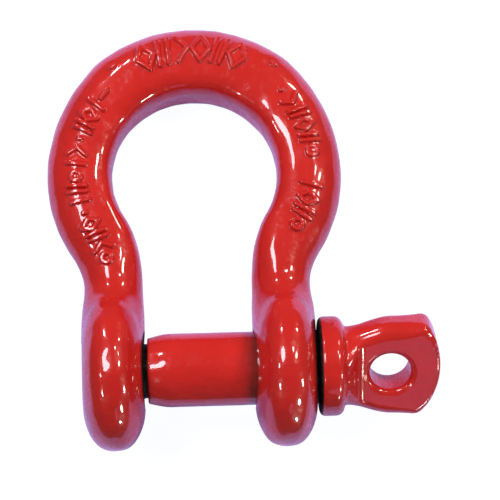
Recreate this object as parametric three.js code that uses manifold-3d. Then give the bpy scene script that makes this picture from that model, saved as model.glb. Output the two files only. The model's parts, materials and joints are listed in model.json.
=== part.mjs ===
// A screw pin bow shackle, 22 mm size, lying on its side with the pin just off its seat.
//
// Two forgings: the bow, with one threaded and one plain eye, and the screw pin, with its
// collar and its flat drilled handle. The pin's turned tip is a mesh of its own, because the
// tip only travels where the rest of the pin travels and turns.
//
// Design frame, in millimetres: X along the pin towards its handle, Y from the pin to the
// crown of the bow, Z square to the bow, with the origin on the pin's axis at mid jaw.
// The finished group is laid down and set with its lowest point at Z 0.

import * as THREE from 'three';
import { LoftGeometry } from 'three/addons/geometries/LoftGeometry.js';
import { mergeVertices } from 'three/addons/utils/BufferGeometryUtils.js';
import Module from 'manifold-3d';

// Driving dimensions of the bow.
const JAW = 37.4; // between the inner faces of the eyes
const EYE_THICKNESS = 22;
const EYE_RADIUS = 27.3;
const LEG_X = 29.15; // centre of each leg
const LEG_TOP = 29.6; // where the straight leg ends
const BOW_RADIUS = 40.45; // centreline of the round part
const BOW_CENTRE_Y = 69.5;
const LEG_WIDTH = 20.4;
const LEG_DEPTH = 22;
const SIDE_DIAMETER = 22.7;
const CROWN_DIAMETER = 26.2;
const INNER_SQUARENESS = 3.6; // power of the bar's section on the inside of the bow, 2 is round
const LEG_FILLET = 12; // between leg and eye, seen along the pin

// Driving dimensions of the pin.
const PIN_RADIUS = 12.7;
const BORE_RADIUS = 13.5; // plain eye
const THREAD_PITCH = 2.822; // nine turns to the inch
const THREAD_RADIUS = 11.1;
const THREAD_DEPTH = 1.7;
const THREAD_CLEARANCE = 0.4;
const SHOULDER_GAP = 0.8; // from the threaded eye's face to the pin's shoulder
const SHOULDER_RADIUS = 11.3;
const SHOULDER_TAPER = 6;
const COLLAR_START = 41.15;
const COLLAR_LENGTH = 8.55;
const COLLAR_RADIUS = 17.25;
const NECK_RADIUS = 13.5;
const HANDLE_THICKNESS = 12.7;
const HANDLE_HALF_HEIGHT = 17.9;
const HANDLE_END = 83;
const HANDLE_END_RADIUS = 30;
const HANDLE_END_Y = 1.8; // centre of the end's arc, over the pin's axis
const HANDLE_HOLE_RADIUS = 7.1;
const HANDLE_HOLE_X = 65.8;
const HANDLE_TURN = THREE.MathUtils.degToRad(41); // from the plane of the bow
const TIP_LENGTH = 1.7;
const TIP_INSET = 1.2; // from the threaded eye's outer face
const TIP_RADIUS = 8.3;
const TIP_GAP = 0.3;

// Fineness of the facets.
const ROUND = 28; // facets round the pin, the bores and the thread
const EYE_ROUND = 36;
const BAR_ROUND = 20;
const BAR_STEPS = 52;
const ARC_STEPS = 4; // in each rounded edge

const RED_ENAMEL = { color: 0xc4161c, roughness: 0.22, metalness: 0 };
const DARK_STEEL = { color: 0x2b2827, roughness: 0.5, metalness: 0.8 };

const INNER_FACE = JAW / 2;
const OUTER_FACE = INNER_FACE + EYE_THICKNESS;
const THREAD_ROOT = THREAD_RADIUS - THREAD_DEPTH;
const THREAD_FLANK = Math.tan(Math.PI / 6); // 60 degree thread form
const SHOULDER_X = SHOULDER_GAP - INNER_FACE;
const TIP_END = TIP_INSET - OUTER_FACE;
const THREAD_END = TIP_END + TIP_LENGTH + TIP_GAP;

const wasm = await Module();
wasm.setup();

// A closed geometry as a solid that can be joined and cut.
function toSolid(geometry) {
  const shell = new THREE.BufferGeometry();
  shell.setAttribute('position', geometry.getAttribute('position').clone());
  shell.setIndex(geometry.getIndex());
  const merged = mergeVertices(shell, 1e-4);
  const corners = merged.getIndex().array;
  const kept = [];
  for (let i = 0; i < corners.length; i += 3) {
    const [a, b, c] = corners.slice(i, i + 3);
    if (a !== b && b !== c && c !== a) kept.push(a, b, c);
  }
  return new wasm.Manifold(new wasm.Mesh({
    numProp: 3,
    vertProperties: new Float32Array(merged.getAttribute('position').array),
    triVerts: new Uint32Array(kept),
  }));
}

// A solid as a named mesh with flat facets.
function toMesh(name, solid, finish) {
  const { vertProperties, triVerts } = solid.getMesh();
  const indexed = new THREE.BufferGeometry();
  indexed.setAttribute('position', new THREE.BufferAttribute(vertProperties, 3));
  indexed.setIndex(new THREE.BufferAttribute(triVerts, 1));
  const geometry = indexed.toNonIndexed();
  geometry.computeVertexNormals();
  const mesh = new THREE.Mesh(geometry, new THREE.MeshStandardMaterial(finish));
  mesh.name = name;
  return mesh;
}

// Revolves [x, radius] points about the X axis. The profile runs from low to high X and the
// solid is closed on the axis at both ends.
function turned(profile, facets) {
  const points = profile.map(([x, radius]) => new THREE.Vector2(radius, x));
  points.unshift(new THREE.Vector2(0, profile[0][0]));
  points.push(new THREE.Vector2(0, profile[profile.length - 1][0]));
  const lathe = new THREE.LatheGeometry(points, facets);
  return toSolid(lathe.rotateZ(-Math.PI / 2));
}

// Points of a quarter ellipse about a centre, between two angles, as [x, radius] pairs.
function roundedEdge(x, radius, halfX, halfRadius, from, to) {
  const edge = [];
  for (let i = 0; i <= ARC_STEPS; i++) {
    const angle = THREE.MathUtils.lerp(from, to, i / ARC_STEPS);
    edge.push([x + halfX * Math.cos(angle), radius + halfRadius * Math.sin(angle)]);
  }
  return edge;
}

// ---- Thread ------------------------------------------------------------------------------

// A right-handed screw thread along X, grown outwards by a clearance for the tapped hole.
function threaded(from, to, clearance) {
  const crest = THREAD_RADIUS + clearance;
  const root = THREAD_ROOT + clearance;
  const sunk = 0.2; // how far the ridge starts inside the core
  const crestHalf = THREAD_PITCH / 16;
  const baseHalf = crestHalf + (crest - root + sunk) * THREAD_FLANK;
  const corners = [
    [baseHalf, root - sunk],
    [crestHalf, crest],
    [-crestHalf, crest],
    [-baseHalf, root - sunk],
  ];
  const first = Math.floor(from / THREAD_PITCH) - 1;
  const last = Math.ceil(to / THREAD_PITCH) + 1;
  const sections = [];
  for (let k = first * ROUND; k <= last * ROUND; k++) {
    const angle = (k / ROUND) * 2 * Math.PI;
    const along = (k / ROUND) * THREAD_PITCH;
    sections.push(corners.map(([x, radius]) => new THREE.Vector3(
      along + x, radius * Math.cos(angle), radius * Math.sin(angle),
    )));
  }
  const ridge = toSolid(new LoftGeometry(sections, { capStart: true, capEnd: true }));
  const core = turned([[from, root], [to, root]], ROUND);
  const span = turned([[from, 2 * crest], [to, 2 * crest]], ROUND);
  return ridge.intersect(span).add(core);
}

// ---- Bow ---------------------------------------------------------------------------------

// Centreline from one eye, up a leg, round the bow and down into the other eye. Each leg
// leaves its eye straight and turns outwards on an arc that meets the round part smoothly.
const legBend = ((BOW_CENTRE_Y - LEG_TOP) ** 2 + LEG_X ** 2 - BOW_RADIUS ** 2) / (2 * (BOW_RADIUS - LEG_X));
const bendX = LEG_X + legBend;
const joinAngle = Math.atan2(BOW_CENTRE_Y - LEG_TOP, bendX);
const joinY = BOW_CENTRE_Y - BOW_RADIUS * Math.sin(joinAngle);
const legFoot = 6;

function centreline() {
  const path = new THREE.Path();
  path.moveTo(LEG_X, legFoot);
  path.lineTo(LEG_X, LEG_TOP);
  path.absarc(bendX, LEG_TOP, legBend, Math.PI, Math.PI - joinAngle, true);
  path.absarc(0, BOW_CENTRE_Y, BOW_RADIUS, -joinAngle, Math.PI + joinAngle, false);
  path.absarc(-bendX, LEG_TOP, legBend, joinAngle, 0, true);
  path.lineTo(-LEG_X, legFoot);
  return path;
}

// Half-depth of the leg, square to the bow, as it spreads on a fillet into the eye.
const filletZ = LEG_DEPTH / 2 + LEG_FILLET;
const filletY = Math.sqrt((EYE_RADIUS + LEG_FILLET) ** 2 - filletZ ** 2);
const filletEndY = filletY * EYE_RADIUS / (EYE_RADIUS + LEG_FILLET);

function legHalfDepth(y) {
  if (y > filletY) return LEG_DEPTH / 2;
  const drop = filletY - Math.max(y, filletEndY);
  return filletZ - Math.sqrt(LEG_FILLET ** 2 - drop ** 2);
}

// Half-width in the plane of the bow, half-depth square to it and squareness of the inside,
// at a centreline point.
function barSection(point) {
  if (point.y > joinY) {
    const rise = Math.max(0, (point.y - BOW_CENTRE_Y) / BOW_RADIUS);
    const diameter = THREE.MathUtils.lerp(SIDE_DIAMETER, CROWN_DIAMETER, rise ** 3);
    return [diameter / 2, diameter / 2, INNER_SQUARENESS];
  }
  const spread = THREE.MathUtils.smoothstep(point.y, LEG_TOP - 4, joinY);
  const width = THREE.MathUtils.lerp(LEG_WIDTH, SIDE_DIAMETER, spread);
  const squareness = THREE.MathUtils.lerp(2, INNER_SQUARENESS, spread);
  return [width / 2, Math.max(legHalfDepth(point.y), SIDE_DIAMETER / 2), squareness];
}

function bar() {
  const path = centreline();
  const sections = [];
  for (let i = 0; i <= BAR_STEPS; i++) {
    const at = path.getPointAt(i / BAR_STEPS);
    const tangent = path.getTangentAt(i / BAR_STEPS);
    const [halfWidth, halfDepth, squareness] = barSection(at);
    const ring = [];
    for (let j = 0; j < BAR_ROUND; j++) {
      const angle = (j / BAR_ROUND) * 2 * Math.PI;
      const [across, depth] = [Math.cos(angle), Math.sin(angle)];
      const power = across > 0 ? 2 / squareness : 1; // the inside of the bow is at positive across
      const inwards = halfWidth * Math.sign(across) * Math.abs(across) ** power;
      ring.push(new THREE.Vector3(
        at.x - tangent.y * inwards,
        at.y + tangent.x * inwards,
        halfDepth * Math.sign(depth) * Math.abs(depth) ** power,
      ));
    }
    sections.push(ring);
  }
  return toSolid(new LoftGeometry(sections, { capStart: true, capEnd: true }));
}

// A disc about the pin's axis, flat on the jaw side, with a soft inner rim and a domed outer one.
const INNER_RIM = { length: 9, width: 9.8 };
const OUTER_RIM = { length: 9.5, width: 16 };

function eye(side) {
  const quarter = Math.PI / 2;
  const inner = roundedEdge(
    INNER_FACE + INNER_RIM.length, EYE_RADIUS - INNER_RIM.width,
    INNER_RIM.length, INNER_RIM.width, 2 * quarter, quarter,
  );
  const outer = roundedEdge(
    OUTER_FACE - OUTER_RIM.length, EYE_RADIUS - OUTER_RIM.width,
    OUTER_RIM.length, OUTER_RIM.width, quarter, 0,
  );
  const disc = turned([...inner, ...outer], EYE_ROUND);
  return side > 0 ? disc : disc.mirror([1, 0, 0]);
}

// The plain bore, with both of its mouths opened.
function plainBore() {
  const mouth = 0.8;
  const past = 2;
  const open = BORE_RADIUS + mouth + past;
  return turned([
    [INNER_FACE - past, open],
    [INNER_FACE + mouth, BORE_RADIUS],
    [OUTER_FACE - mouth, BORE_RADIUS],
    [OUTER_FACE + past, open],
  ], ROUND);
}

// The tapped bore, with a wide countersink towards the jaw that clears the pin's shoulder.
function tappedBore() {
  const past = 2;
  const mouth = 14;
  const root = THREAD_ROOT + THREAD_CLEARANCE;
  const countersink = turned([
    [-INNER_FACE - (mouth - root), root],
    [-INNER_FACE + past, mouth + past],
  ], ROUND);
  const backMouth = THREAD_RADIUS + 1;
  const back = turned([
    [-OUTER_FACE - past, backMouth + past],
    [-OUTER_FACE + (backMouth - root), root],
  ], ROUND);
  return threaded(-OUTER_FACE - past, -INNER_FACE, THREAD_CLEARANCE)
    .add(countersink)
    .add(back)
    .rotate([THREE.MathUtils.radToDeg(HANDLE_TURN), 0, 0]);
}

function bow() {
  return bar().add(eye(1)).add(eye(-1)).subtract(plainBore()).subtract(tappedBore());
}

// ---- Pin ---------------------------------------------------------------------------------

// The threaded end, from its chamfered start to the relief behind the shoulder.
function pinThread() {
  const chamfer = THREAD_RADIUS - TIP_RADIUS;
  const relief = 1.5;
  const envelope = turned([
    [THREAD_END, TIP_RADIUS],
    [THREAD_END + chamfer, THREAD_RADIUS],
    [SHOULDER_X - relief - THREAD_DEPTH, THREAD_RADIUS],
    [SHOULDER_X - relief, THREAD_ROOT],
    [SHOULDER_X + 1, THREAD_ROOT],
  ], ROUND);
  return threaded(THREAD_END - 1, SHOULDER_X + 1, 0).intersect(envelope);
}

function shankAndCollar() {
  const collarEnd = COLLAR_START + COLLAR_LENGTH;
  const quarter = Math.PI / 2;
  const edge = 1.2;
  const softEdge = 2.2;
  return turned([
    [SHOULDER_X, SHOULDER_RADIUS],
    [SHOULDER_X + SHOULDER_TAPER, PIN_RADIUS],
    [COLLAR_START, PIN_RADIUS],
    ...roundedEdge(COLLAR_START + edge, COLLAR_RADIUS - edge, edge, edge, 2 * quarter, quarter),
    ...roundedEdge(collarEnd - softEdge, COLLAR_RADIUS - softEdge, softEdge, softEdge, quarter, 0),
  ], ROUND);
}

// The neck is round at the collar and runs down to the two flats of the handle in wedges.
const NECK_END = COLLAR_START + COLLAR_LENGTH + 5.8;

function neck() {
  const start = COLLAR_START + COLLAR_LENGTH - 2;
  const wedgeStart = COLLAR_START + COLLAR_LENGTH;
  const half = HANDLE_THICKNESS / 2;
  const side = new THREE.Shape();
  side.moveTo(start, -NECK_RADIUS);
  side.lineTo(wedgeStart, -NECK_RADIUS);
  side.lineTo(NECK_END, -half);
  side.lineTo(NECK_END, half);
  side.lineTo(wedgeStart, NECK_RADIUS);
  side.lineTo(start, NECK_RADIUS);
  const wedge = new THREE.ExtrudeGeometry(side, { depth: 4 * NECK_RADIUS, bevelEnabled: false });
  wedge.translate(0, 0, -2 * NECK_RADIUS).rotateX(Math.PI / 2);
  return toSolid(wedge).intersect(turned([[start, NECK_RADIUS], [NECK_END, NECK_RADIUS]], ROUND));
}

// The flat handle: it widens from the neck and ends in a shallow arc with rounded corners.
function handle() {
  const start = COLLAR_START + COLLAR_LENGTH - 2;
  const flareStart = COLLAR_START + COLLAR_LENGTH + 2.6;
  const flareEnd = flareStart + 14;
  const corner = 2.5;
  const bevel = 1;
  const wide = HANDLE_HALF_HEIGHT;
  const endX = HANDLE_END - HANDLE_END_RADIUS;
  const cornerY = wide - corner;
  const cornerX = (y) => endX + Math.sqrt((HANDLE_END_RADIUS - corner) ** 2 - (y - HANDLE_END_Y) ** 2);
  const [lowX, highX] = [cornerX(-cornerY), cornerX(cornerY)];
  const lowTurn = Math.atan2(-cornerY - HANDLE_END_Y, lowX - endX);
  const highTurn = Math.atan2(cornerY - HANDLE_END_Y, highX - endX);
  const flareControl = flareStart + 6.5;

  const outline = new THREE.Shape();
  outline.moveTo(start, -NECK_RADIUS);
  outline.lineTo(flareStart, -NECK_RADIUS);
  outline.quadraticCurveTo(flareControl, -wide, flareEnd, -wide);
  outline.lineTo(lowX, -wide);
  outline.absarc(lowX, -cornerY, corner, -Math.PI / 2, lowTurn, false);
  outline.absarc(endX, HANDLE_END_Y, HANDLE_END_RADIUS, lowTurn, highTurn, false);
  outline.absarc(highX, cornerY, corner, highTurn, Math.PI / 2, false);
  outline.lineTo(flareEnd, wide);
  outline.quadraticCurveTo(flareControl, wide, flareStart, NECK_RADIUS);
  outline.lineTo(start, NECK_RADIUS);

  const plate = new THREE.ExtrudeGeometry(outline, {
    depth: HANDLE_THICKNESS - 2 * bevel,
    curveSegments: 7,
    bevelThickness: bevel,
    bevelSize: bevel,
    bevelOffset: -bevel,
    bevelSegments: 2,
  });
  plate.translate(0, 0, bevel - HANDLE_THICKNESS / 2);
  return toSolid(plate).subtract(handleHole());
}

// The hole's cutter, square to the flats, with a small chamfer at both faces.
function handleHole() {
  const chamfer = 1;
  const half = HANDLE_THICKNESS / 2;
  const open = HANDLE_HOLE_RADIUS + 2 * chamfer;
  const points = [
    [0, -half - chamfer],
    [open, -half - chamfer],
    [HANDLE_HOLE_RADIUS, -half + chamfer],
    [HANDLE_HOLE_RADIUS, half - chamfer],
    [open, half + chamfer],
    [0, half + chamfer],
  ].map(([radius, z]) => new THREE.Vector2(radius, z));
  const cutter = new THREE.LatheGeometry(points, ROUND);
  return toSolid(cutter.rotateX(Math.PI / 2).translate(HANDLE_HOLE_X, 0, 0));
}

function screwPin() {
  return pinThread().add(shankAndCollar()).add(neck()).add(handle());
}

// The turned tip in front of the thread.
function pinTip() {
  const chamfer = 0.8;
  return turned([
    [TIP_END, TIP_RADIUS - chamfer],
    [TIP_END + chamfer, TIP_RADIUS],
    [TIP_END + TIP_LENGTH, TIP_RADIUS],
  ], ROUND);
}

// ---- Assembly ----------------------------------------------------------------------------

const pinGroup = new THREE.Group();
pinGroup.rotation.x = HANDLE_TURN;
pinGroup.add(toMesh('screw_pin', screwPin(), RED_ENAMEL));
pinGroup.add(toMesh('pin_tip', pinTip(), DARK_STEEL));

// The shackle rests on both eyes and on the crown, so it leans by the difference of their radii.
const shackle = new THREE.Group();
const crownY = BOW_CENTRE_Y + BOW_RADIUS;
shackle.rotation.x = -Math.asin((EYE_RADIUS - CROWN_DIAMETER / 2) / crownY);
shackle.add(toMesh('bow', bow(), RED_ENAMEL));
shackle.add(pinGroup);

// The origin is the middle of the footprint, on the surface that the shackle lies on.
const part = new THREE.Group();
part.add(shackle);
part.updateMatrixWorld(true);
const box = new THREE.Box3().setFromObject(part, true);
const middle = box.getCenter(new THREE.Vector3());
shackle.position.set(-middle.x, -middle.y, -box.min.z);

export default part;
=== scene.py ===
"""A glossy red screw pin bow shackle lying on a pale floor.

The shapes are written in millimetres in the shackle's own frame: X along the pin towards its
handle, Y from the pin to the crown of the bow, Z square to the bow, with the origin on the
pin's axis at mid jaw. The handle and the thread are written in the pin's frame, which is the
same frame turned about X. Each forging is a field, the distance to its skin: a coarse shell is
remeshed to an even grid, and every vertex is then moved onto the skin.
"""

import json
import math

import bmesh
import bpy
import numpy as np
from mathutils import Matrix, Vector


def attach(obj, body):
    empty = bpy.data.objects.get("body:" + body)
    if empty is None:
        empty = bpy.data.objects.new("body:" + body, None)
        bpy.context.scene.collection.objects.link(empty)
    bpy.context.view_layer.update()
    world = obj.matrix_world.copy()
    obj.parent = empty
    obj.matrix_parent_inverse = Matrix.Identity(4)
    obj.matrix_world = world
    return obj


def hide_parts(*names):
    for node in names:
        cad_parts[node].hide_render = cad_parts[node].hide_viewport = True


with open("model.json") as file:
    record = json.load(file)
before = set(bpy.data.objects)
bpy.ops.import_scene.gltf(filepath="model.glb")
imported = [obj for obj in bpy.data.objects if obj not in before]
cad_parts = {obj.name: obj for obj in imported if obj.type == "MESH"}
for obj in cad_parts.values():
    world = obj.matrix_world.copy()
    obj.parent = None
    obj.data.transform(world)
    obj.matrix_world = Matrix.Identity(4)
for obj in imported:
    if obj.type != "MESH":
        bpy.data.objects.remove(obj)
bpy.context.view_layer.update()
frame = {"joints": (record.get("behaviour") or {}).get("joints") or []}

MM = 0.001

# ---- Dimensions of the bow, in millimetres ------------------------------------------------

INNER_FACE = 18.7  # of each eye, from mid jaw
EYE_THICKNESS = 22.0
OUTER_FACE = INNER_FACE + EYE_THICKNESS
EYE_RADIUS = 27.3
EYE_RIM = 17.0  # from the rim's top to where the faces are flat
EYE_SQUARENESS = 2.5  # power of the rim's section across the eye, where 2 is an ellipse
INNER_DRAFT = math.tan(math.radians(4))  # the faces lean back from the parting plane
OUTER_DRAFT = math.tan(math.radians(2))
LEG_X = 29.15
LEG_TOP = 29.6
LEG_FOOT = 12.0
BOW_RADIUS = 40.45
BOW_Y = 69.5
LEG_HALF_WIDTH = 10.2
LEG_HALF_DEPTH = 11.0
SIDE_HALF = 11.35
TOP_HALF = 13.1
INNER_SQUARENESS = 3.6  # power of the bar's section on the inside of the bow
EYE_BLEND = 5.0
FACE_EDGE = 0.8  # rounded edge where an eye's flat face cuts the bar
PARTING_EASE = 3.0  # over which the draft sets in, up from the parting plane
JAW_MOUTH = 14.0  # radius of the threaded eye's countersink, towards the jaw
FORGED_WAVE = 0.07  # height of the soft waviness of the bow's forging
MACHINED_ROUND = 4.0  # over which the waviness fades in, out from the collar's seat

LEG_BEND = ((BOW_Y - LEG_TOP) ** 2 + LEG_X**2 - BOW_RADIUS**2) / (2 * (BOW_RADIUS - LEG_X))
BEND_X = LEG_X + LEG_BEND
JOIN_ANGLE = math.atan2(BOW_Y - LEG_TOP, BEND_X)
BOW_WAY = BOW_RADIUS * (math.pi / 2 + JOIN_ANGLE)  # along the centreline, from crown to bend
BEND_WAY = BOW_WAY + LEG_BEND * JOIN_ANGLE

# ---- Raised marks on the face of the bow, in millimetres: abstract strokes, not letters ----

MARK_RAISE = 1.15
MARK_HALF = 0.75  # half of a stroke's width
MARK_EDGE = 0.3  # how far each side of a stroke slopes
MARK_FINE = 1.2  # how far round a stroke the mesh is refined
MARK_REACH = 2.5  # how far round a stroke the mesh is put back on the skin
FACE_LOW = 3.0  # the marks are only on the face, over this height
RING = [(0.55 * math.cos(a), 0.55 * math.sin(a)) for a in np.linspace(0, 2 * math.pi, 13)]
STROKES = {
    # chains of points, across and up, where 1 is half of the mark's height
    "dot": [[(0, -0.1), (0, 0.1)]],
    "dash": [[(-0.6, 0), (0.6, 0)]],
    "bar": [[(-0.1, -1), (0.1, 1)]],
    "bars": [[(-0.5, -1), (-0.2, 1)], [(0.2, -1), (0.5, 1)]],
    "arrow": [[(-0.35, 1), (0.4, 0), (-0.35, -1)]],
    "diamond": [[(-0.65, 0), (0, 1), (0.65, 0), (0, -1), (-0.65, 0)]],
    "ring": [RING],
    "eye": [RING, [(0, -0.05), (0, 0.05)]],
}
MARKS = [
    # where the row starts and ends along the bar from the crown, its middle, its height, marks
    (-18.5, 18.5, 2.8, 9.0, "diamond bars arrow diamond bars diamond"),
    (-99, -32, 0.8, 6.2, "ring arrow bars diamond dot bar bars eye bar arrow dot bars diamond bar dash"),
    (32, 61, 1.2, 6.0, "dot arrow bars diamond bars eye"),
    (68, 88, 0.6, 6.6, "bar diamond bars ring"),
    (-29, -22.5, 6.0, 1.4, "dash"),
    (22.5, 31, 6.6, 1.4, "dash"),
]

# ---- Dimensions of the pin, in millimetres ------------------------------------------------

PIN_RADIUS = 12.7
BORE_RADIUS = 13.5
SHOULDER_X = 0.8 - INNER_FACE
SHOULDER_RADIUS = 11.3
SHOULDER_TAPER = 6.0
SHOULDER_EDGE = 0.4  # rounded edge of its end
TAPER_EDGE = 0.6  # and of where its taper meets the shank
THREAD_PITCH = 2.822
THREAD_RADIUS = 11.1
THREAD_DEPTH = 1.7
TAP_CLEARANCE = 0.3
TIP_RADIUS = 8.3
TIP_INSET = 1.2  # from the threaded eye's outer face
COLLAR_START = 41.15
COLLAR_END = 49.7
SHADED_COLLAR = 0.9  # of its bearing end, dark steel as painted shade of the gap to the eye
COLLAR_RADIUS = 17.25
COLLAR_SEAT_EDGE = 2.0  # rounded edge of its bearing end
COLLAR_BACK_EDGE = 3.0  # and of its other end
NECK_RADIUS = 13.5
NECK_END = 55.5
NECK_EDGE = 1.5
NECK_FILLET = 1.6  # between neck, handle and collar
SHANK_FILLET = 0.8  # between shank and collar
HANDLE_HALF = 6.35  # half of its thickness
HANDLE_HEIGHT = 17.9  # half of its height
HANDLE_END = 83.0
HANDLE_END_RADIUS = 30.0
HANDLE_END_Y = 1.8  # centre of the end's arc, over the pin's axis
HANDLE_CORNER = 1.8
END_EDGE = 1.2  # rounded edge of the handle's end
SIDE_EDGE = 5.0  # and of its long sides
FLARE_START = 52.3
FLARE_END = 66.3
HOLE_X = 65.8
HOLE_RADIUS = 7.1
HOLE_MOUTH = 2.2  # radius of the round at its rims
HANDLE_TURN = math.radians(41)
PIN_WAVE = 0.02  # height of the waviness of the pin
NECK_INSET = 2.0  # how far inside the collar the neck and the handle start
GREASE_AND_SHADE_WIDTH = 5.5  # of the painted shade of the eye and the oily film on the shank, out of the plain eye

# ---- Meshing ------------------------------------------------------------------------------

BOW_GRID = 0.8  # millimetres
PIN_GRID = 0.42
RELAX_ROUNDS = 5  # of evening out the vertices along the skin
RELAX_SHARE = 0.6  # of the way to the middle of a vertex's neighbours, in each round

# ---- From the shackle's own frame to the row frame ----------------------------------------

pin_turn = next(j for j in frame["joints"] if j["name"] == "pin_turn")
LEAN = math.asin((EYE_RADIUS - TOP_HALF) / (BOW_Y + BOW_RADIUS))
TO_ROW = (
    Matrix.Translation(Vector(pin_turn["pos_m"]))
    @ Matrix.Rotation(-LEAN, 4, "X")
    @ Matrix.Scale(MM, 4)
)
PIN_TO_ROW = TO_ROW @ Matrix.Rotation(HANDLE_TURN, 4, "X")


# ---- Mesh helpers -------------------------------------------------------------------------


def new_mesh(name, vertices, faces):
    """A mesh object from an (N, 3) array and an (M, k) array or a list of faces."""
    mesh = bpy.data.meshes.new(name)
    mesh.from_pydata(np.asarray(vertices, float).tolist(), [], [tuple(f) for f in faces])
    mesh.update()
    obj = bpy.data.objects.new(name, mesh)
    bpy.context.scene.collection.objects.link(obj)
    return obj


def applied(obj):
    """Bakes an object's modifiers into its mesh."""
    evaluated = obj.evaluated_get(bpy.context.evaluated_depsgraph_get())
    baked = bpy.data.meshes.new_from_object(evaluated)
    obj.modifiers.clear()
    old, obj.data = obj.data, baked
    bpy.data.meshes.remove(old)
    return obj


def cut(obj, tool):
    """Cuts a closed tool out of a closed object."""
    boolean = obj.modifiers.new("cut", "BOOLEAN")
    boolean.operation = "DIFFERENCE"
    boolean.solver = "MANIFOLD"
    boolean.object = tool
    applied(obj)
    obj.data.materials.clear()
    bpy.data.objects.remove(tool)


def finish_piece(obj, to_row, materials, body, nodes, sharp_degrees=40):
    """Puts a piece in the row frame, on its body, in place of its CAD nodes."""
    obj.data.transform(to_row)
    for material in materials:
        obj.data.materials.append(material)
    obj.data.shade_smooth()
    obj.data.set_sharp_from_angle(angle=math.radians(sharp_degrees))
    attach(obj, body)
    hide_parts(*nodes)


def rings_to_faces(rings, count):
    """Quads between closed rings of points, and one polygon over each end."""
    faces = []
    for i in range(rings - 1):
        for j in range(count):
            k = (j + 1) % count
            faces.append((i * count + j, i * count + k, (i + 1) * count + k, (i + 1) * count + j))
    faces.append(tuple(reversed(range(count))))
    faces.append(tuple(range((rings - 1) * count, rings * count)))
    return faces


def turned(profile, segments=96):
    """Vertices and faces of [x, radius] points revolved about the X axis, capped flat."""
    angles = np.arange(segments) / segments * 2 * math.pi
    vertices = [
        (x, radius * math.cos(a), radius * math.sin(a)) for x, radius in profile for a in angles
    ]
    return np.array(vertices), rings_to_faces(len(profile), segments)


def skinned(name, shells, voxel, field):
    """An even mesh on the zero level of a field, started from overlapping closed shells."""
    vertices, faces = [], []
    for points, polygons in shells:
        first = sum(len(v) for v in vertices)
        vertices.append(points)
        faces += [tuple(first + i for i in polygon) for polygon in polygons]
    obj = new_mesh(name, np.vstack(vertices), faces)
    remesh = obj.modifiers.new("even", "REMESH")
    remesh.mode = "VOXEL"
    remesh.voxel_size = voxel
    applied(obj)
    mesh = obj.data
    points = np.empty(len(mesh.vertices) * 3, np.float32)
    mesh.vertices.foreach_get("co", points)
    points = points.reshape(-1, 3).astype(float)
    edges = np.empty(len(mesh.edges) * 2, np.int32)
    mesh.edges.foreach_get("vertices", edges)
    a, b = edges.reshape(-1, 2).T
    valence = np.bincount(np.concatenate([a, b]), minlength=len(points))[:, None]
    points, normals = onto_skin(points, field, 6)
    for _ in range(RELAX_ROUNDS):
        total = np.stack(
            [
                np.bincount(a, points[b, axis], len(points))
                + np.bincount(b, points[a, axis], len(points))
                for axis in range(3)
            ],
            axis=1,
        )
        step = total / valence - points
        step -= (step * normals).sum(1, keepdims=True) * normals
        points, normals = onto_skin(points + RELAX_SHARE * step, field, 2)
    mesh.vertices.foreach_set("co", points.astype(np.float32).ravel())
    mesh.update()
    return obj


def onto_skin(points, field, steps):
    """Points moved along the field's slope onto its zero level, and the normals there."""
    reach = 0.01
    for _ in range(steps):
        value = field(points)
        slope = np.stack(
            [field(points + reach * axis) - value for axis in np.eye(3)], axis=1
        ) / reach
        steepness = np.maximum((slope**2).sum(1), 0.05)
        move = value / steepness
        points = points - np.clip(move, -0.8, 0.8)[:, None] * slope
    return points, slope / np.linalg.norm(slope, axis=1, keepdims=True)


# ---- Fields -------------------------------------------------------------------------------


def smooth_step(x, low, high):
    t = np.clip((x - low) / (high - low), 0, 1)
    return t * t * (3 - 2 * t)


def joined(a, b, blend):
    """Union of two fields with a fillet."""
    h = np.maximum(blend - np.abs(a - b), 0) / blend
    return np.minimum(a, b) - h * h * blend / 4


def common(a, b, blend):
    """Intersection of two fields with a rounded edge."""
    return -joined(-a, -b, blend)


def corner(u, v, radius):
    """Intersection of two fields with an exact round of a radius, which may be an array."""
    outside = np.hypot(np.maximum(u + radius, 0), np.maximum(v + radius, 0))
    return outside + np.minimum(np.maximum(u + radius, v + radius), 0) - radius


WAVES = [
    # direction, length in millimetres, phase
    ((0.8, 0.5, 0.3), 11.0, 0.4),
    ((-0.4, 0.9, 0.2), 8.5, 2.1),
    ((0.3, -0.2, 0.9), 9.5, 4.0),
    ((0.6, -0.7, 0.4), 6.8, 1.3),
    ((-0.7, -0.1, 0.7), 13.0, 5.2),
    ((0.1, 0.6, -0.8), 7.4, 3.3),
    ((0.9, 0.1, -0.3), 5.6, 0.9),
]


def forged_wave(points, height):
    """The low, soft waviness that forging and shot blasting leave under the enamel."""
    total = 0
    for direction, length, phase in WAVES:
        d = np.array(direction) / np.linalg.norm(direction)
        total = total + np.sin(points @ d * (2 * math.pi / length) + phase)
    return height * total / math.sqrt(len(WAVES))


def along_bar(points):
    """How far each point lies along the bar from the crown, and how far out of its centreline."""
    x, y = np.abs(points[:, 0]), points[:, 1]
    turn = np.arctan2(y - BOW_Y, x)
    bend_turn = np.arctan2(LEG_TOP - y, BEND_X - x)
    on_bow = turn > -JOIN_ANGLE
    on_leg = (~on_bow) & (y < LEG_TOP)
    bow = (BOW_RADIUS * (math.pi / 2 - turn), np.hypot(x, y - BOW_Y) - BOW_RADIUS)
    bend = (BEND_WAY + LEG_BEND * bend_turn, LEG_BEND - np.hypot(x - BEND_X, y - LEG_TOP))
    leg = (BEND_WAY + LEG_TOP - y, x - LEG_X)
    way, out = (
        np.where(on_bow, bow[i], np.where(on_leg, leg[i], bend[i])) for i in range(2)
    )
    return way, out


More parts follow.
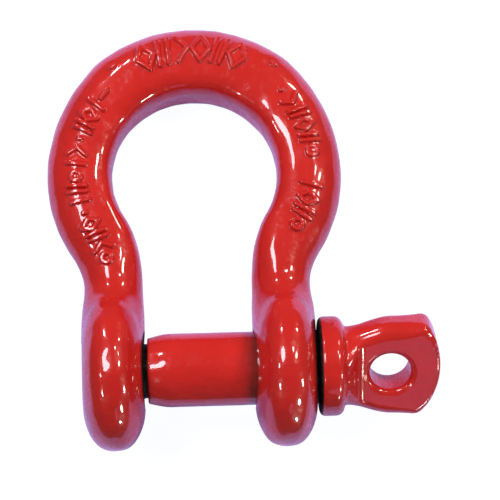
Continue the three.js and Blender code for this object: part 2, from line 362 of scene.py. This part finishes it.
def bar_field(points):
    """The bar, from eye to eye, as an oval that follows the centreline."""
    way, out = along_bar(points)
    y, z = points[:, 1], points[:, 2]
    rise = np.clip((y - BOW_Y) / BOW_RADIUS, 0, 1)
    on_top = SIDE_HALF + (TOP_HALF - SIDE_HALF) * rise**3
    leg = smooth_step(way, BOW_WAY, BEND_WAY)
    width = on_top + (LEG_HALF_WIDTH - SIDE_HALF) * leg
    depth = on_top + (LEG_HALF_DEPTH - SIDE_HALF) * leg
    power = np.where(out < 0, INNER_SQUARENESS + (2 - INNER_SQUARENESS) * leg, 2)
    section = np.abs(out / width) ** power + np.abs(z / depth) ** power
    oval = (np.maximum(section, 1e-6) ** (1 / power) - 1) * width
    return np.maximum(oval, LEG_FOOT - y)


def rise_over_parting(z):
    """Height over the parting plane, eased through nought."""
    return np.hypot(z, PARTING_EASE) - PARTING_EASE


def eye_field(points):
    """An eye: a drilled disc whose faces lean back with their draft, under a rounded rim."""
    rise = rise_over_parting(points[:, 2])
    low = INNER_FACE + INNER_DRAFT * rise
    half = (OUTER_FACE - OUTER_DRAFT * rise - low) / 2
    along = np.abs(np.abs(points[:, 0]) - low - half) / half
    across = np.hypot(points[:, 1], points[:, 2]) - EYE_RADIUS
    over = np.maximum(across / EYE_RIM + 1, 0)
    return (np.sqrt(along**EYE_SQUARENESS + over**2) - 1) * half


def bow_field(points):
    """Both eyes and the bar, with the eyes' faces kept flat where the bar runs into them."""
    x, y, rise = np.abs(points[:, 0]), points[:, 1], rise_over_parting(points[:, 2])
    inner = INNER_FACE + INNER_DRAFT * rise - x - 2 * np.maximum(y - LEG_TOP - 12, 0)
    outer = x + OUTER_DRAFT * rise - OUTER_FACE - np.maximum(y - LEG_TOP + 2, 0)
    solid = joined(bar_field(points), eye_field(points), EYE_BLEND)
    solid = common(solid, np.maximum(inner, outer), FACE_EDGE)
    across = np.hypot(y, points[:, 2])
    as_forged = smooth_step(across, COLLAR_RADIUS, COLLAR_RADIUS + MACHINED_ROUND)
    return solid + forged_wave(points, FORGED_WAVE) * as_forged


def pin_field(points):
    """The painted pin: shank, collar, neck and drilled handle, in the pin's frame."""
    x, y, z = points.T
    across = np.hypot(y, z)
    taper = (PIN_RADIUS - SHOULDER_RADIUS) / SHOULDER_TAPER
    shank = corner(across - PIN_RADIUS, SHOULDER_X - x, SHOULDER_EDGE)
    cone = (across - SHOULDER_RADIUS - taper * (x - SHOULDER_X)) / math.hypot(1, taper)
    shank = common(np.maximum(shank, x - COLLAR_END), cone, TAPER_EDGE)
    collar = corner(across - COLLAR_RADIUS, COLLAR_START - x, COLLAR_SEAT_EDGE)
    collar = np.maximum(collar, corner(across - COLLAR_RADIUS, x - COLLAR_END, COLLAR_BACK_EDGE))

    wedge_run, wedge_drop = NECK_END - COLLAR_END, NECK_RADIUS - HANDLE_HALF
    wedge = (x - COLLAR_END) * wedge_drop + (np.abs(z) - NECK_RADIUS) * wedge_run
    wedge /= math.hypot(wedge_run, wedge_drop)
    neck = common(across - NECK_RADIUS, wedge, NECK_EDGE)
    neck = np.maximum(neck, COLLAR_START + NECK_INSET - x)

    flare = smooth_step(x, FLARE_START - 4, FLARE_END)
    height = NECK_RADIUS + (HANDLE_HEIGHT - NECK_RADIUS) * flare
    side = np.abs(y) - height
    end_x = HANDLE_END - HANDLE_END_RADIUS
    end = np.hypot(np.maximum(x - end_x, 0), y - HANDLE_END_Y) - HANDLE_END_RADIUS
    outline = corner(side, end, HANDLE_CORNER)
    edge = END_EDGE + (SIDE_EDGE - END_EDGE) * smooth_step(side - end, -8, 8)
    plate = corner(outline, np.abs(z) - HANDLE_HALF, edge)
    plate = np.maximum(plate, COLLAR_START + NECK_INSET - x)

    solid = joined(neck, plate, NECK_FILLET)
    solid = joined(solid, collar, NECK_FILLET)
    solid = joined(solid, shank, SHANK_FILLET)
    return solid + forged_wave(points, PIN_WAVE)


# ---- The bow ------------------------------------------------------------------------------


def mark_distance(along, out):
    """Distance in the bar's own surface from each point to the nearest stroke of any mark."""
    nearest = np.full(len(along), 99.0)
    for start, end, middle, height, names in MARKS:
        names = names.split()
        pitch = (end - start) / len(names)
        near = np.flatnonzero((along > start - 2) & (along < end + 2))
        u, v = along[near], out[near]
        for i, name in enumerate(names):
            centre = start + (i + 0.5) * pitch
            for chain in STROKES[name]:
                chain = np.array(chain) * height / 2 + (centre, middle)
                for a, b in zip(chain, chain[1:]):
                    way = b - a
                    t = np.clip(((u - a[0]) * way[0] + (v - a[1]) * way[1]) / (way @ way), 0, 1)
                    d = np.hypot(u - a[0] - t * way[0], v - a[1] - t * way[1])
                    nearest[near] = np.minimum(nearest[near], d)
    return nearest


def bar_place(points):
    """Signed way from the crown, and the way out over the bar's round, of points on its face."""
    way, out = along_bar(points)
    return np.where(points[:, 0] < 0, -way, way), out


def raise_marks(bow):
    """Refines the mesh round the marks and lifts the strokes, with soft enamel-filled edges."""
    mesh = bmesh.new()
    mesh.from_mesh(bow.data)
    middles = np.array([face.calc_center_median() for face in mesh.faces])
    close = mark_distance(*bar_place(middles)) < MARK_HALF + MARK_FINE
    close &= middles[:, 2] > FACE_LOW
    mesh.faces.ensure_lookup_table()
    edges = {edge for i in np.flatnonzero(close) for edge in mesh.faces[i].edges}
    bmesh.ops.subdivide_edges(mesh, edges=list(edges), cuts=2, use_grid_fill=True)
    mesh.to_mesh(bow.data)
    mesh.free()
    points = np.empty(len(bow.data.vertices) * 3, np.float32)
    bow.data.vertices.foreach_get("co", points)
    points = points.reshape(-1, 3).astype(float)
    near = mark_distance(*bar_place(points)) < MARK_HALF + MARK_REACH
    near = np.flatnonzero(near & (points[:, 2] > FACE_LOW))
    skin, normals = onto_skin(points[near], bow_field, 2)
    edge = smooth_step(mark_distance(*bar_place(skin)), MARK_HALF - MARK_EDGE, MARK_HALF + MARK_EDGE)
    points[near] = skin + normals * (MARK_RAISE * (1 - edge))[:, None]
    bow.data.vertices.foreach_set("co", points.astype(np.float32).ravel())
    bow.data.update()


def centreline(t):
    """Point and outward direction on the bow's centreline, from one eye (0) to the other (1)."""
    half_arc = math.pi / 2 + JOIN_ANGLE
    lengths = [LEG_TOP - LEG_FOOT, LEG_BEND * JOIN_ANGLE, BOW_RADIUS * half_arc]
    side = 1 if t < 0.5 else -1
    way = sum(lengths) * (2 * t if t < 0.5 else 2 - 2 * t)
    if way < lengths[0]:
        return (side * LEG_X, LEG_FOOT + way), (side, 0)
    way -= lengths[0]
    if way < lengths[1]:
        turn = way / LEG_BEND
        out = (math.cos(turn), -math.sin(turn))
        x, y = BEND_X - LEG_BEND * out[0], LEG_TOP - LEG_BEND * out[1]
        return (side * x, y), (side * out[0], out[1])
    turn = -JOIN_ANGLE + (way - lengths[1]) / BOW_RADIUS
    out = (math.cos(turn), math.sin(turn))
    return (side * BOW_RADIUS * out[0], BOW_Y + BOW_RADIUS * out[1]), (side * out[0], out[1])


def bar_shell():
    """A plain tube along the centreline, which the remesh starts from."""
    steps, round_ = 90, 24
    vertices = []
    for i in range(steps + 1):
        (x, y), (out_x, out_y) = centreline(i / steps)
        for j in range(round_):
            angle = j / round_ * 2 * math.pi
            out = SIDE_HALF * math.cos(angle)
            vertices.append((x + out * out_x, y + out * out_y, SIDE_HALF * math.sin(angle)))
    return np.array(vertices), [f[::-1] for f in rings_to_faces(steps + 1, round_)]


def eye_shell(side):
    """A rounded disc, which the remesh starts from."""
    profile = [
        (INNER_FACE, EYE_RADIUS - 9),
        (INNER_FACE + 3, EYE_RADIUS - 3),
        (INNER_FACE + 9, EYE_RADIUS - 0.3),
        (OUTER_FACE - 9, EYE_RADIUS - 0.3),
        (OUTER_FACE - 3, EYE_RADIUS - 5),
        (OUTER_FACE, EYE_RADIUS - 15),
    ]
    vertices, faces = turned(profile, 64)
    if side < 0:
        vertices = vertices * np.array([-1, 1, 1])
        faces = [f[::-1] for f in faces]
    return vertices, faces


def trumpet(face, bore, mouth, outwards):
    """Profile of a bore's rounded mouth, from inside to past the face. Outwards is 1 or -1."""
    profile = []
    for i in range(9):
        angle = i / 8 * math.radians(80)
        x = face - outwards * mouth * (1 - math.sin(angle))
        profile.append((x, bore + mouth * (1 - math.cos(angle))))
    profile.append((face + outwards * 1.5, profile[-1][1] + 2.0))
    return profile


def plain_bore():
    """Cutter for the bore of the right eye, with both of its mouths rounded."""
    low = trumpet(INNER_FACE, BORE_RADIUS, 1.1, -1)
    high = trumpet(OUTER_FACE, BORE_RADIUS, 1.1, 1)
    return new_mesh("plain bore", *turned(low[::-1] + high, 96))


def thread_profile(clearance):
    """(share of the pitch, radius) corners of one turn of the thread, root first."""
    crest = THREAD_RADIUS + clearance
    root = crest - THREAD_DEPTH
    flank = THREAD_DEPTH * math.tan(math.pi / 6) / THREAD_PITCH
    flat = 1 / 16  # half of the crest's
    return [
        (0.5 - flat - flank, root),
        (0.5 - flat - flank / 2, (root + crest) / 2),
        (0.5 - flat, crest),
        (0.5 + flat, crest),
        (0.5 + flat + flank / 2, (root + crest) / 2),
        (0.5 + flat + flank, root),
    ]


def threaded(low, high, clearance, envelope, segments=96):
    """A right-handed thread about X as a closed solid. Radii stay inside envelope(x)."""
    profile = thread_profile(clearance)
    rows = len(profile)
    first = math.floor(low / THREAD_PITCH) - 1
    turns = math.ceil(high / THREAD_PITCH) + 1 - first
    vertices = []
    for turn in range(turns):
        for share, radius in profile:
            for j in range(segments):
                angle = j / segments * 2 * math.pi
                x = (first + turn + share + j / segments) * THREAD_PITCH
                r = min(radius, envelope(x))
                x = min(max(x, low), high)
                vertices.append((x, r * math.cos(angle), r * math.sin(angle)))
    total = turns * rows

    def at(row, j):
        """The last column of a row runs on into the first column one turn further."""
        return (row + rows) * segments if j == segments else row * segments + j

    faces = []
    for row in range(total - rows - 1):
        for j in range(segments):
            faces.append((at(row, j), at(row, j + 1), at(row + 1, j + 1), at(row + 1, j)))
    low_loop = [at(0, j) for j in range(segments)] + [row * segments for row in range(rows, 0, -1)]
    last = total - rows - 1
    high_loop = [at(last, j) for j in range(segments)]
    high_loop += [at(row, 0) for row in range(last + rows, last, -1)]
    centre = len(vertices)
    vertices += [(low, 0, 0), (high, 0, 0)]
    for loop, middle, flip in ((low_loop, centre, False), (high_loop, centre + 1, True)):
        for a, b in zip(loop, loop[1:] + loop[:1]):
            faces.append((middle, a, b) if flip else (middle, b, a))
    return np.array(vertices), faces


def tapped_bore():
    """Cutter for the thread of the left eye."""
    low, high = -OUTER_FACE - 2, -INNER_FACE + 2
    tool = new_mesh("tap", *threaded(low, high, TAP_CLEARANCE, lambda x: 99.0))
    tool.data.transform(Matrix.Rotation(HANDLE_TURN, 4, "X"))
    return tool


def countersinks():
    """Cutters for the two mouths of the tapped bore."""
    root = THREAD_RADIUS - THREAD_DEPTH + TAP_CLEARANCE
    back_mouth = THREAD_RADIUS + 0.9
    jaw_side = [
        (-INNER_FACE - (JAW_MOUTH - root), root - 0.5),
        (-INNER_FACE - (JAW_MOUTH - root) + 0.5, root),
        (-INNER_FACE, JAW_MOUTH),
        (-INNER_FACE + 2, JAW_MOUTH + 2),
    ]
    back_side = [
        (-OUTER_FACE - 2, back_mouth + 2),
        (-OUTER_FACE, back_mouth),
        (-OUTER_FACE + back_mouth - root, root),
    ]
    return [
        new_mesh("countersink", *turned(jaw_side, 96)),
        new_mesh("back mouth", *turned(back_side, 96)),
    ]


def show_bare_bores_and_seat_shade(bow):
    """Gives both bores the second material, bare steel with no enamel, and the collar's seat on the eye
    as well, as painted shade of the gap to the collar.
    """
    for polygon in bow.data.polygons:
        x, y, z = polygon.center
        bare = BORE_RADIUS + 0.2 if x > 0 else JAW_MOUTH - 0.1
        # the eye's face under the collar: dark steel as painted shade of the gap
        if x > OUTER_FACE - 2.5:
            bare = COLLAR_RADIUS - 0.6
        if math.hypot(y, z) < bare:
            polygon.material_index = 1


def make_bow(enamel, steel):
    """The bow with its marks and its two bores."""
    shells = [bar_shell(), eye_shell(1), eye_shell(-1)]
    bow = skinned("bow_forging", shells, BOW_GRID, bow_field)
    raise_marks(bow)
    for tool in (plain_bore(), tapped_bore(), *countersinks()):
        cut(bow, tool)
    show_bare_bores_and_seat_shade(bow)
    finish_piece(bow, TO_ROW, [enamel, steel], "shackle_bow", ["bow"])


# ---- The pin ------------------------------------------------------------------------------


def handle_hole():
    """Cutter for the hole through the handle, with both of its rims rounded."""
    low = trumpet(-HANDLE_HALF, HOLE_RADIUS, HOLE_MOUTH, -1)
    high = trumpet(HANDLE_HALF, HOLE_RADIUS, HOLE_MOUTH, 1)
    tool = new_mesh("hole", *turned(low[::-1] + high, 96))
    to_hole = Matrix.Translation((HOLE_X, 0, 0)) @ Matrix.Rotation(-math.pi / 2, 4, "Y")
    tool.data.transform(to_hole)
    return tool


def show_seat_shade(pin):
    """Gives the collar's bearing face, and the shank next to it, the second material: dark steel as
    painted shade of the gap between eye and collar.
    """
    for polygon in pin.data.polygons:
        x = polygon.center.x
        # dark steel as painted shade of the gap to the eye
        if OUTER_FACE - 1.5 < x < COLLAR_START + SHADED_COLLAR:
            polygon.material_index = 1


def make_pin(enamel, steel):
    """The painted part of the pin, which is remeshed from a plain shaft and a plain plate."""
    half = HANDLE_HALF - 0.5
    shaft = [
        (SHOULDER_X, SHOULDER_RADIUS),
        (SHOULDER_X + SHOULDER_TAPER, PIN_RADIUS),
        (COLLAR_START, PIN_RADIUS),
        (COLLAR_START, COLLAR_RADIUS - 0.5),
        (COLLAR_END, COLLAR_RADIUS - 1),
        (COLLAR_END, NECK_RADIUS - 1),
        (NECK_END, HANDLE_HALF),
    ]
    corners = [
        (COLLAR_END - 2, NECK_RADIUS - 1),
        (FLARE_END, HANDLE_HEIGHT - 1),
        (HANDLE_END - 7, HANDLE_HEIGHT - 1),
        (HANDLE_END - 1, 4),
    ]
    outline = [(x, -y) for x, y in corners] + [(x, y) for x, y in corners[::-1]]
    count = len(outline)
    plate = np.array([(x, y, z) for z in (-half, half) for x, y in outline])
    shells = [turned(shaft, 48), (plate, rings_to_faces(2, count))]
    obj = skinned("screw_pin_painted", shells, PIN_GRID, pin_field)
    cut(obj, handle_hole())
    show_seat_shade(obj)
    finish_piece(obj, PIN_TO_ROW, [enamel, steel], "pin", ["screw_pin"])


def make_thread(steel):
    """The bare threaded end, from the chamfered tip into the shoulder."""
    low, high = TIP_INSET - OUTER_FACE, SHOULDER_X + 1.5
    root = THREAD_RADIUS - THREAD_DEPTH
    start = low + (THREAD_RADIUS - TIP_RADIUS)

    def envelope(x):
        chamfer = TIP_RADIUS + max(0.0, x - low)
        relief = root + max(0.0, SHOULDER_X - 1.2 - x)
        return min(THREAD_RADIUS if x > start else chamfer, relief)

    obj = new_mesh("screw_pin_thread", *threaded(low, high, 0, envelope))
    finish_piece(obj, PIN_TO_ROW, [steel], "pin", ["pin_tip"], 35)


# ---- Materials ----------------------------------------------------------------------------


FLOOR_GLOW = 0.95  # emission strengths
CARD_GLOW = 0.28


def principled(name):
    """A new material with its node tree, its shader and a texture coordinate in metres."""
    material = bpy.data.materials.new(name)
    material.use_nodes = True
    nodes = material.node_tree.nodes
    place = nodes.new("ShaderNodeTexCoord")
    return material, nodes["Principled BSDF"], place.outputs["Object"]


def noise(material, place, per_metre, detail=3.0):
    """A noise texture's value, with a number of features to the metre."""
    node = material.node_tree.nodes.new("ShaderNodeTexNoise")
    node.inputs["Scale"].default_value = per_metre
    node.inputs["Detail"].default_value = detail
    material.node_tree.links.new(place, node.inputs["Vector"])
    return node.outputs["Fac"]


def mapped(material, value, low, high):
    """A value from 0 to 1 mapped onto a range."""
    node = material.node_tree.nodes.new("ShaderNodeMapRange")
    node.inputs["From Min"].default_value = 0.3
    node.inputs["From Max"].default_value = 0.7
    node.inputs["To Min"].default_value = low
    node.inputs["To Max"].default_value = high
    material.node_tree.links.new(value, node.inputs["Value"])
    return node.outputs["Result"]


def shades(material, value, dark, light):
    """A colour between two, by a value."""
    node = material.node_tree.nodes.new("ShaderNodeValToRGB")
    node.color_ramp.elements[0].position = 0.3
    node.color_ramp.elements[0].color = (*dark, 1)
    node.color_ramp.elements[1].position = 0.7
    node.color_ramp.elements[1].color = (*light, 1)
    material.node_tree.links.new(value, node.inputs["Fac"])
    return node.outputs["Color"]


def bumped(material, shader, heights):
    """Chains bumps of (height value, depth in metres) into the shader's normal."""
    links = material.node_tree.links
    normal = None
    for value, depth in heights:
        node = material.node_tree.nodes.new("ShaderNodeBump")
        node.inputs["Distance"].default_value = depth
        node.inputs["Strength"].default_value = 1.0
        links.new(value, node.inputs["Height"])
        if normal:
            links.new(normal, node.inputs["Normal"])
        normal = node.outputs["Normal"]
    links.new(normal, shader.inputs["Normal"])


def grease_and_shade(material, place, clean):
    """A clean colour darkened where the shank comes out of the plain bore: painted shade of the eye on
    the shank, and an oily film.
    """
    nodes, links = material.node_tree.nodes, material.node_tree.links
    split = nodes.new("ShaderNodeSeparateXYZ")
    links.new(place, split.inputs["Vector"])
    fade = nodes.new("ShaderNodeMapRange")
    fade.interpolation_type = "SMOOTHSTEP"
    fade.inputs["From Min"].default_value = pin_turn["pos_m"][0] + (INNER_FACE - GREASE_AND_SHADE_WIDTH) * MM
    fade.inputs["From Max"].default_value = pin_turn["pos_m"][0] + (INNER_FACE + 1) * MM
    links.new(split.outputs["X"], fade.inputs["Value"])
    past = nodes.new("ShaderNodeMath")
    past.operation = "LESS_THAN"
    past.inputs[1].default_value = pin_turn["pos_m"][0] + COLLAR_START * MM
    links.new(split.outputs["X"], past.inputs[0])
    film = nodes.new("ShaderNodeMath")
    film.operation = "MULTIPLY"
    links.new(fade.outputs["Result"], film.inputs[0])
    links.new(past.outputs["Value"], film.inputs[1])
    patchy = nodes.new("ShaderNodeMath")
    patchy.operation = "MULTIPLY"
    links.new(film.outputs["Value"], patchy.inputs[0])
    links.new(mapped(material, noise(material, place, 120), 0.4, 0.8), patchy.inputs[1])
    mix = nodes.new("ShaderNodeMix")
    mix.data_type = "RGBA"
    links.new(patchy.outputs["Value"], mix.inputs["Factor"])
    links.new(clean, mix.inputs["A"])
    # near black of the painted shade and the oily film
    mix.inputs["B"].default_value = (0.02, 0.012, 0.01, 1)
    return mix.outputs["Result"]


def pooled_and_shaded(material, clean):
    """A clean colour, darker in inward corners and round the marks: painted shade of the corners, and
    enamel run thick into them.
    """
    nodes, links = material.node_tree.nodes, material.node_tree.links
    shape = nodes.new("ShaderNodeNewGeometry")
    depth = nodes.new("ShaderNodeMapRange")
    depth.inputs["From Min"].default_value = 0.38
    depth.inputs["From Max"].default_value = 0.49
    depth.inputs["To Min"].default_value = 0.8
    depth.inputs["To Max"].default_value = 0.0
    links.new(shape.outputs["Pointiness"], depth.inputs["Value"])
    mix = nodes.new("ShaderNodeMix")
    mix.data_type = "RGBA"
    links.new(depth.outputs["Result"], mix.inputs["Factor"])
    links.new(clean, mix.inputs["A"])
    # dark crimson of the painted corner shade and the thick enamel
    mix.inputs["B"].default_value = (0.12, 0.003, 0.006, 1)
    return mix.outputs["Result"]


def red_enamel(name, greased_and_shaded):
    """Thick gloss enamel, with faint orange peel over a blasted surface."""
    material, shader, place = principled(name)
    links = material.node_tree.links
    tint = shades(material, noise(material, place, 45), (0.57, 0.015, 0.012), (0.66, 0.02, 0.016))
    # darker in inward corners: painted shade and pooled enamel
    tint = pooled_and_shaded(material, tint)
    # darker on the shank by the plain eye: painted shade of the eye, and an oily film
    if greased_and_shaded:
        tint = grease_and_shade(material, place, tint)
    links.new(tint, shader.inputs["Base Color"])
    gloss = mapped(material, noise(material, place, 130), 0.2, 0.32)
    links.new(gloss, shader.inputs["Roughness"])
    shader.inputs["Specular IOR Level"].default_value = 0.15
    shader.inputs["Coat Weight"].default_value = 1.0
    shader.inputs["Coat Roughness"].default_value = 0.03
    shader.inputs["Coat IOR"].default_value = 1.5
    peel = noise(material, place, 620, 2.0)
    ripples = noise(material, place, 330, 1.0)
    dents = noise(material, place, 190, 1.0)
    bumped(material, shader, [(dents, 0.0002), (ripples, 0.0002), (peel, 0.00008)])
    return material


def dark_steel():
    """Bare dark steel with an oily film, for the threads and the bores."""
    material, shader, place = principled("dark steel")
    links = material.node_tree.links
    tint = shades(material, noise(material, place, 300), (0.012, 0.011, 0.012), (0.06, 0.055, 0.055))
    links.new(tint, shader.inputs["Base Color"])
    gloss = mapped(material, noise(material, place, 700), 0.35, 0.6)
    links.new(gloss, shader.inputs["Roughness"])
    shader.inputs["Metallic"].default_value = 0.7
    bumped(material, shader, [(noise(material, place, 1500, 4.0), 0.00002)])
    return material


def pale_floor():
    """A matt floor with an even white glow of its own."""
    material, shader, place = principled("pale floor")
    links = material.node_tree.links
    tint = shades(material, noise(material, place, 4), (0.14, 0.14, 0.14), (0.16, 0.16, 0.16))
    links.new(tint, shader.inputs["Base Color"])
    shader.inputs["Roughness"].default_value = 0.9
    shader.inputs["Specular IOR Level"].default_value = 0.1
    shader.inputs["Emission Color"].default_value = (1.0, 1.0, 1.0, 1)
    shader.inputs["Emission Strength"].default_value = FLOOR_GLOW
    return material


def lilac_card():
    """The matt lilac card that the enamel mirrors, with a faint bluish glow of its own."""
    material, shader, place = principled("lilac card")
    links = material.node_tree.links
    tint = shades(material, noise(material, place, 9), (0.68, 0.47, 0.86), (0.74, 0.52, 0.92))
    links.new(tint, shader.inputs["Base Color"])
    shader.inputs["Emission Color"].default_value = (0.15, 0.34, 1.0, 1)
    shader.inputs["Emission Strength"].default_value = CARD_GLOW
    shader.inputs["Roughness"].default_value = 0.9
    shader.inputs["Specular IOR Level"].default_value = 0.1
    return material


# ---- Camera, floor and lights -------------------------------------------------------------

CAMERA_LEFT = math.radians(1.5)  # of straight over the aim
CAMERA_LOW = math.radians(6)  # towards the pin from straight over the aim
CAMERA_DISTANCE = 800.0  # millimetres from the middle of the picture
CAMERA_ROLL = math.radians(1.7)
AIM = (18.8, 42.1, 0)  # in the shackle's own frame
LENS = 164.2
FLOOR_Z = -0.0003  # metres
CARD_SIZE = 0.3
CARD_RISE = 0.0001  # over the floor


def view_axes():
    """Right, up and backward directions of the camera, before its roll, in the row frame."""
    back = Vector((-math.tan(CAMERA_LEFT), -math.tan(CAMERA_LOW), 1)).normalized()
    right = Vector((0, 1, 0)).cross(back).normalized()
    return right, back.cross(right), back


def make_camera():
    """The camera, which looks down nearly straight on the shackle."""
    right, up, back = view_axes()
    turn = Matrix((right, up, back)).transposed().to_4x4()
    aim = TO_ROW @ Vector(AIM)
    data = bpy.data.cameras.new("camera")
    data.lens = LENS
    data.clip_start = 0.01
    camera = bpy.data.objects.new("camera", data)
    bpy.context.scene.collection.objects.link(camera)
    roll = Matrix.Rotation(-CAMERA_ROLL, 4, "Z")
    camera.matrix_world = Matrix.Translation(aim + back * CAMERA_DISTANCE * MM) @ turn @ roll
    bpy.context.scene.camera = camera


def make_floor():
    """A wide floor that sweeps up into a backdrop all round, and lights nothing by itself."""
    flat, sweep = 1.8, 1.4
    profile = []
    for i in range(13):
        angle = i / 12 * math.pi / 2
        rise = sweep * (1 - math.cos(angle))
        profile.append((FLOOR_Z + rise, flat + sweep * math.sin(angle)))
    vertices, faces = [(0, 0, FLOOR_Z)], []
    count = 64
    for z, radius in profile:
        for j in range(count):
            angle = j / count * 2 * math.pi
            vertices.append((radius * math.cos(angle), radius * math.sin(angle), z))
    for j in range(count):
        k = (j + 1) % count
        faces.append((0, 1 + j, 1 + k))
        for i in range(len(profile) - 1):
            low, high = 1 + i * count, 1 + (i + 1) * count
            faces.append((low + j, high + j, high + k, low + k))
    floor = new_mesh("floor", vertices, faces)
    floor.data.materials.append(pale_floor())
    floor.data.shade_smooth()
    floor.visible_diffuse = False
    floor.visible_glossy = False


def make_card():
    """The card under the shackle. The camera sees the floor through it, and the enamel sees the card."""
    half, z = CARD_SIZE / 2, FLOOR_Z + CARD_RISE
    corners = [(-half, -half, z), (half, -half, z), (half, half, z), (-half, half, z)]
    card = new_mesh("card", corners, [range(4)])
    card.data.materials.append(lilac_card())
    card.visible_camera = False
    card.visible_shadow = False


LAMPS = [
    # degrees right of the view and up, width and height in degrees, radiance, colour
    ("window", -20, 20, 24, 14, 18, (1.0, 0.93, 1.0)),
    ("warm right", 44, 22, 9, 9, 42, (1.0, 0.9, 0.76)),
    ("near right", 26, 30, 7, 6, 42, (1.0, 0.95, 0.9)),
    ("high left", -20, 57, 8, 7, 38, (1.0, 0.96, 1.0)),
    ("high right", 38, 62, 8, 7, 38, (1.0, 0.88, 0.74)),
    ("left", -44, 2, 5, 5, 40, (1.0, 0.96, 1.0)),
    ("low left", -28, -33, 6, 6, 44, (1.0, 0.96, 0.92)),
    ("low right", 62, -42, 7, 7, 44, (1.0, 0.97, 0.95)),
    ("bottom right", 38, -64, 8, 8, 44, (1.0, 0.9, 0.8)),
    ("bottom", 22, -78, 6, 6, 44, (1.0, 0.97, 0.95)),
    ("low panel", 12, -61, 12, 16, 1.1, (1.0, 0.4, 0.75)),
]
GLINTS = {"low left", "low right", "bottom right", "low panel"}  # light no surface, only mirrored
LAMP_DISTANCE = 0.9  # metres
LAMP_AIM = (0, 55, 0)  # in the shackle's own frame


def make_lamps():
    """A window and small soft lamps, placed by their angle from the camera's direction."""
    right, up, back = view_axes()
    aim = TO_ROW @ Vector(LAMP_AIM)
    for name, across, over, wide, high, radiance, colour in LAMPS:
        a, h = math.radians(across), math.radians(over)
        away = right * math.sin(a) + up * math.sin(h) * math.cos(a) + back * math.cos(h) * math.cos(a)
        data = bpy.data.lights.new(name, "AREA")
        data.shape = "ELLIPSE"
        data.size = 2 * LAMP_DISTANCE * math.tan(math.radians(wide) / 2)
        data.size_y = 2 * LAMP_DISTANCE * math.tan(math.radians(high) / 2)
        data.energy = radiance * math.pi**2 * data.size * data.size_y / 4
        data.color = colour
        lamp = bpy.data.objects.new(name, data)
        bpy.context.scene.collection.objects.link(lamp)
        lamp.location = aim + away * LAMP_DISTANCE
        lamp.visible_diffuse = name not in GLINTS
        lamp.rotation_euler = away.to_track_quat("Z", "Y").to_euler()


def make_world():
    """The dim, even surroundings."""
    world = bpy.data.worlds.new("dim studio")
    world.use_nodes = True
    background = world.node_tree.nodes["Background"]
    background.inputs["Color"].default_value = (0.8, 1.0, 0.95, 1)
    background.inputs["Strength"].default_value = 0.12
    bpy.context.scene.world = world


make_camera()
steel = dark_steel()
make_bow(red_enamel("red enamel", False), steel)
make_pin(red_enamel("red enamel with grease", True), steel)
make_thread(steel)
make_floor()
make_card()
make_lamps()
make_world()
bpy.context.scene.view_settings.view_transform = "Standard"
